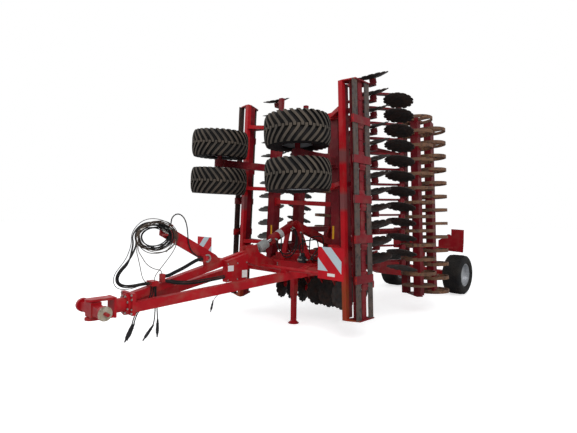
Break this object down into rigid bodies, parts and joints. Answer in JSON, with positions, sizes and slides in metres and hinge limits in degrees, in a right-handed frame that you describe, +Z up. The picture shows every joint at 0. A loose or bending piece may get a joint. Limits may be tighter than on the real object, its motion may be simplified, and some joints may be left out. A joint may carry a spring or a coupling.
{
  "type": "folding disc harrow",
  "caption": "Trailed disc harrow folded for the road: two upright wings of dished discs, ring rollers, a levelling tool, gauge wheels, a drawbar, a jack and two road wheels.",
  "frame": {"origin": "on the ground, under the middle of the machine's outline", "axes": "+X to the machine's left, +Y to its rear, +Z up; the hitch points along -Y"},
  "size_m": [3.08, 8.203, 3.9231],
  "materials": {
    "red_paint": "satin",
    "dark_red_paint": "satin",
    "grey_paint": "satin",
    "brown_steel": "weathered",
    "disc_steel": "weathered",
    "ring_steel": "weathered",
    "chrome": "polished",
    "silver_paint": "satin",
    "tyre": "matte",
    "board": "striped",
    "hose_rubber": "satin",
    "black_plastic": "satin"
  },
  "bodies": {
    "frame": {"centre_frame": "red_paint", "centre_disc_arms": "red_paint", "centre_discs": "disc_steel", "cylinder_tower": "red_paint", "jack_sleeve": "red_paint"},
    "jack": {"jack_leg": "red_paint"},
    "drawbar": {"drawbar_frame": "red_paint", "valve_panel": "dark_red_paint", "hose_mast": "red_paint", "board_rail": "red_paint", "warning_boards": "board", "hose_coil": "hose_rubber", "hose_bundle": "hose_rubber", "hose_tail_front": "hose_rubber", "hose_tail_middle": "hose_rubber", "hose_tail_rear": "hose_rubber", "plug_lead": "hose_rubber", "mast_hose": "hose_rubber", "hose_run": "hose_rubber", "hose_plugs": "black_plastic"},
    "hitch_neck": {"hitch_neck": "red_paint"},
    "hitch_crossbar": {"hitch_crossbar": "red_paint"},
    "drawbar_barrel": {"drawbar_cylinder_barrel": "red_paint"},
    "drawbar_rod": {"drawbar_cylinder_rod": "chrome", "depth_clips": "grey_paint"},
    "undercarriage": {"undercarriage_arm": "red_paint", "rear_light_boards": "dark_red_paint"},
    "left_transport_wheel": {"left_transport_tyre": "tyre", "left_transport_rim": "silver_paint"},
    "right_transport_wheel": {"right_transport_tyre": "tyre", "right_transport_rim": "silver_paint"},
    "undercarriage_barrel": {"undercarriage_cylinder_barrel": "red_paint"},
    "undercarriage_rod": {"undercarriage_cylinder_rod": "chrome"},
    "left_wing": {"left_wing_frame": "red_paint", "left_disc_arms": "red_paint", "left_discs": "disc_steel", "left_tool_frame": "red_paint", "left_tool_blades": "brown_steel", "left_gauge_arm": "red_paint", "left_packer_frame": "red_paint"},
    "left_gauge_wheels": {"left_gauge_tyres": "tyre", "left_gauge_rims": "silver_paint"},
    "left_front_roller": {"left_front_roller": "ring_steel"},
    "left_rear_roller": {"left_rear_roller": "ring_steel"},
    "left_fold_barrel": {"left_fold_cylinder_barrel": "grey_paint"},
    "left_fold_rod": {"left_fold_cylinder_rod": "chrome"},
    "right_wing": {"right_wing_frame": "red_paint", "right_disc_arms": "red_paint", "right_discs": "disc_steel", "right_tool_frame": "red_paint", "right_tool_blades": "brown_steel", "right_gauge_arm": "red_paint", "right_packer_frame": "red_paint", "transport_brace": "red_paint"},
    "right_gauge_wheels": {"right_gauge_tyres": "tyre", "right_gauge_rims": "silver_paint"},
    "right_front_roller": {"right_front_roller": "ring_steel"},
    "right_rear_roller": {"right_rear_roller": "ring_steel"},
    "right_fold_barrel": {"right_fold_cylinder_barrel": "grey_paint"},
    "right_fold_rod": {"right_fold_cylinder_rod": "chrome"}
  },
  "joints": [
    {"name": "drawbar_lift", "type": "hinge", "parent": "frame", "child": "drawbar", "pos_m": [0, -1.2765, 0.92], "axis": [-1, 0, 0], "range_deg": [-4, 8]},
    {"name": "hitch_roll", "type": "hinge", "parent": "drawbar", "child": "hitch_neck", "pos_m": [0, -3.6365, 0.7], "axis": [0, 1, 0], "range_deg": [-15, 15]},
    {"name": "hitch_turn", "type": "hinge", "parent": "hitch_neck", "child": "hitch_crossbar", "pos_m": [0, -4.0165, 0.7], "axis": [0, 0, 1], "range_deg": [-50, 50]},
    {"name": "jack_slide", "type": "slide", "parent": "frame", "child": "jack", "axis": [0, 0, 1], "range_m": [0, 0.3]},
    {"name": "undercarriage_lift", "type": "hinge", "parent": "frame", "child": "undercarriage", "pos_m": [0, 0.3235, 1], "axis": [1, 0, 0], "range_deg": [0, 10]},
    {"name": "drawbar_cylinder_barrel_swing", "type": "hinge", "parent": "frame", "child": "drawbar_barrel", "pos_m": [0, -0.9565, 1.565], "axis": [-1, 0, 0], "range_deg": [-1.92, 3.54]},
    {"name": "drawbar_cylinder_rod_slide", "type": "slide", "parent": "drawbar_barrel", "child": "drawbar_rod", "axis": [0, -0.9083, -0.4183], "range_m": [-0.0662, 0.0341]},
    {"name": "undercarriage_cylinder_barrel_swing", "type": "hinge", "parent": "frame", "child": "undercarriage_barrel", "pos_m": [0, 0.1035, 1.48], "axis": [1, 0, 0], "range_deg": [0, 7.77]},
    {"name": "undercarriage_cylinder_rod_slide", "type": "slide", "parent": "undercarriage_barrel", "child": "undercarriage_rod", "axis": [0, 0.9375, -0.348], "range_m": [-0.0712, 0]},
    {"name": "left_transport_wheel_spin", "type": "hinge", "parent": "undercarriage", "child": "left_transport_wheel", "pos_m": [0.78, 3.6645, 0.437], "axis": [1, 0, 0], "continuous": true},
    {"name": "left_wing_fold", "type": "hinge", "parent": "frame", "child": "left_wing", "pos_m": [0.75, -0.7165, 0.91], "axis": [0, 1, 0], "range_deg": [0, 92.5]},
    {"name": "left_fold_cylinder_barrel_swing", "type": "hinge", "parent": "frame", "child": "left_fold_barrel", "pos_m": [0.06, -0.4215, 1.1], "axis": [0, 1, 0], "range_deg": [-2.57, 0]},
    {"name": "left_fold_cylinder_rod_slide", "type": "slide", "parent": "left_fold_barrel", "child": "left_fold_rod", "axis": [0.9962, 0, -0.0872], "range_m": [0, 0.3073]},
    {"name": "left_gauge_wheels_spin", "type": "hinge", "parent": "left_wing", "child": "left_gauge_wheels", "pos_m": [0.83684, -1.7865, 2.52032], "axis": [-0.0436, 0, 0.999], "continuous": true},
    {"name": "left_front_roller_spin", "type": "hinge", "parent": "left_wing", "child": "left_front_roller", "pos_m": [0.99665, 1.2235, 1.90921], "axis": [-0.0436, 0, 0.999], "continuous": true},
    {"name": "left_rear_roller_spin", "type": "hinge", "parent": "left_wing", "child": "left_rear_roller", "pos_m": [0.99665, 1.7635, 1.90921], "axis": [-0.0436, 0, 0.999], "continuous": true},
    {"name": "right_transport_wheel_spin", "type": "hinge", "parent": "undercarriage", "child": "right_transport_wheel", "pos_m": [-0.78, 3.6645, 0.437], "axis": [1, 0, 0], "continuous": true},
    {"name": "right_wing_fold", "type": "hinge", "parent": "frame", "child": "right_wing", "pos_m": [-0.75, -0.7165, 0.91], "axis": [0, -1, 0], "range_deg": [0, 92.5]},
    {"name": "right_fold_cylinder_barrel_swing", "type": "hinge", "parent": "frame", "child": "right_fold_barrel", "pos_m": [-0.06, -0.4215, 1.1], "axis": [0, -1, 0], "range_deg": [-2.57, 0]},
    {"name": "right_fold_cylinder_rod_slide", "type": "slide", "parent": "right_fold_barrel", "child": "right_fold_rod", "axis": [-0.9962, 0, -0.0872], "range_m": [0, 0.3073]},
    {"name": "right_gauge_wheels_spin", "type": "hinge", "parent": "right_wing", "child": "right_gauge_wheels", "pos_m": [-0.83684, -1.7865, 2.52032], "axis": [0.0436, 0, 0.999], "continuous": true},
    {"name": "right_front_roller_spin", "type": "hinge", "parent": "right_wing", "child": "right_front_roller", "pos_m": [-0.99665, 1.2235, 1.90921], "axis": [0.0436, 0, 0.999], "continuous": true},
    {"name": "right_rear_roller_spin", "type": "hinge", "parent": "right_wing", "child": "right_rear_roller", "pos_m": [-0.99665, 1.7635, 1.90921], "axis": [0.0436, 0, 0.999], "continuous": true}
  ],
  "couplings": [
    {"joint": "drawbar_cylinder_barrel_swing", "follows": "drawbar_lift", "ratio": 0.40455},
    {"joint": "drawbar_cylinder_rod_slide", "follows": "drawbar_lift", "m_per_rad": -0.4597},
    {"joint": "undercarriage_cylinder_barrel_swing", "follows": "undercarriage_lift", "ratio": 0.74679},
    {"joint": "undercarriage_cylinder_rod_slide", "follows": "undercarriage_lift", "m_per_rad": -0.39654},
    {"joint": "left_fold_cylinder_barrel_swing", "follows": "left_wing_fold", "ratio": -0.024582},
    {"joint": "left_fold_cylinder_rod_slide", "follows": "left_wing_fold", "m_per_rad": 0.18912},
    {"joint": "right_fold_cylinder_barrel_swing", "follows": "right_wing_fold", "ratio": -0.024582},
    {"joint": "right_fold_cylinder_rod_slide", "follows": "right_wing_fold", "m_per_rad": 0.18912}
  ]
}
